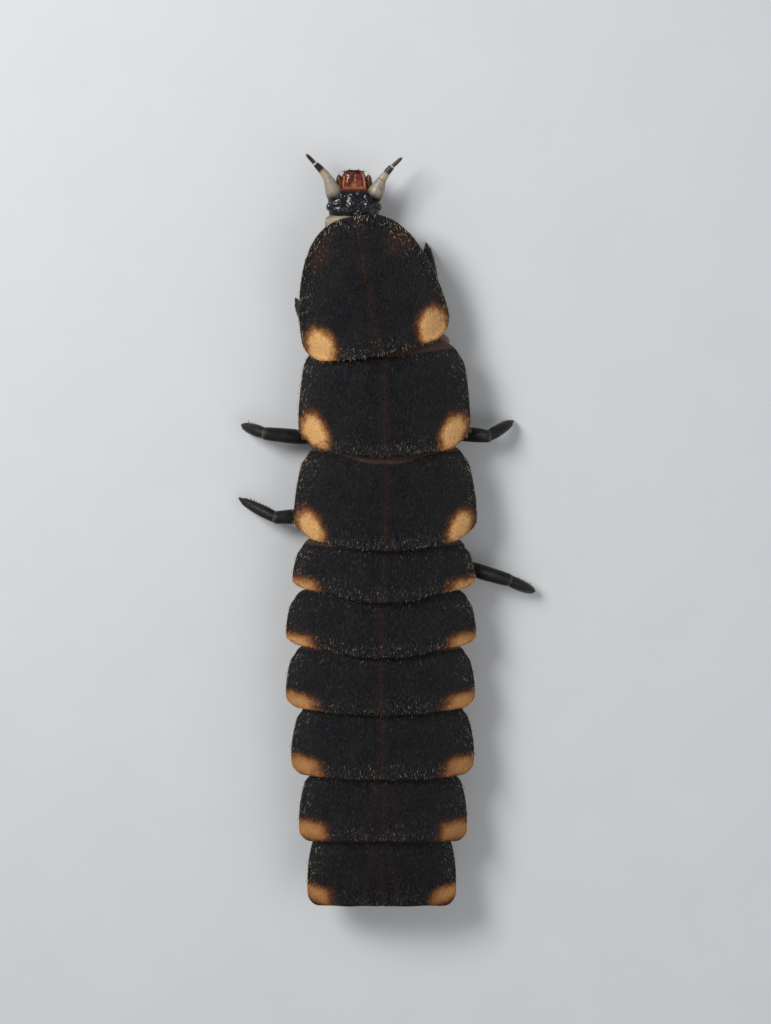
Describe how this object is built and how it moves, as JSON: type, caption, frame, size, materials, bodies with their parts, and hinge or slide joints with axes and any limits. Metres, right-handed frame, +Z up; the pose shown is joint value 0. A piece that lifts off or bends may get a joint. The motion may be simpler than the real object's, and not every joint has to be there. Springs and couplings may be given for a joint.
{
  "type": "firefly larva",
  "caption": "Life-size still model of a glow-worm firefly larva: flat black body under overlapping back plates with pale corner spots, small head, short legs.",
  "frame": {"origin": "on the floor, at the middle of the box round the whole animal in X and Y", "axes": "+Y towards the head along the body, +X towards the animal's right, +Z up from the floor"},
  "size_m": [0.0092, 0.0229, 0.0025],
  "materials": {
    "back_plate": "matt black shell, finely granular, with pale orange hind corners and short pale bristles",
    "flesh": "dark brown soft skin with folds, paler in the creases",
    "neck_skin": "pale beige membrane",
    "holdfast": "pale moist membrane",
    "head_shell": "glossy black wrinkled shell",
    "eye": "black, very glossy bead",
    "antenna": "pale translucent beige with black band and dark brown tip",
    "jaw": "glossy deep red-brown with amber rims",
    "leg": "semi-gloss olive black with pale knee rings and small spines"
  },
  "bodies": {
    "root": {"leg_front_left_coxa": "leg", "leg_front_left_femur": "leg", "leg_front_left_tibia": "leg", "leg_middle_left_coxa": "leg", "leg_middle_left_femur": "leg", "leg_middle_left_tibia": "leg", "leg_rear_left_coxa": "leg", "leg_rear_left_femur": "leg", "leg_rear_left_tibia": "leg", "leg_front_right_coxa": "leg", "leg_front_right_femur": "leg", "leg_front_right_tibia": "leg", "leg_middle_right_coxa": "leg", "leg_middle_right_femur": "leg", "leg_middle_right_tibia": "leg", "leg_rear_right_coxa": "leg", "leg_rear_right_femur": "leg", "leg_rear_right_tibia": "leg", "pronotum": "back_plate", "mesonotum": "back_plate", "metanotum": "back_plate", "tergite_1": "back_plate", "tergite_2": "back_plate", "tergite_3": "back_plate", "tergite_4": "back_plate", "tergite_5": "back_plate", "tergite_6": "back_plate", "tergite_7": "back_plate", "tergite_8": "back_plate", "tergite_9": "back_plate", "prothorax": "flesh", "mesothorax": "flesh", "metathorax": "flesh", "abdomen_1": "flesh", "abdomen_2": "flesh", "abdomen_3": "flesh", "abdomen_4": "flesh", "abdomen_5": "flesh", "abdomen_6": "flesh", "abdomen_7": "flesh", "abdomen_8": "flesh", "abdomen_9": "flesh", "neck": "neck_skin", "pygopod": "holdfast", "head": "head_shell", "eye_left": "eye", "eye_right": "eye", "antenna_left": "antenna", "antenna_right": "antenna", "mandible_left": "jaw", "mandible_right": "jaw", "palp_left": "jaw", "palp_right": "jaw"}
  },
  "joints": []
}
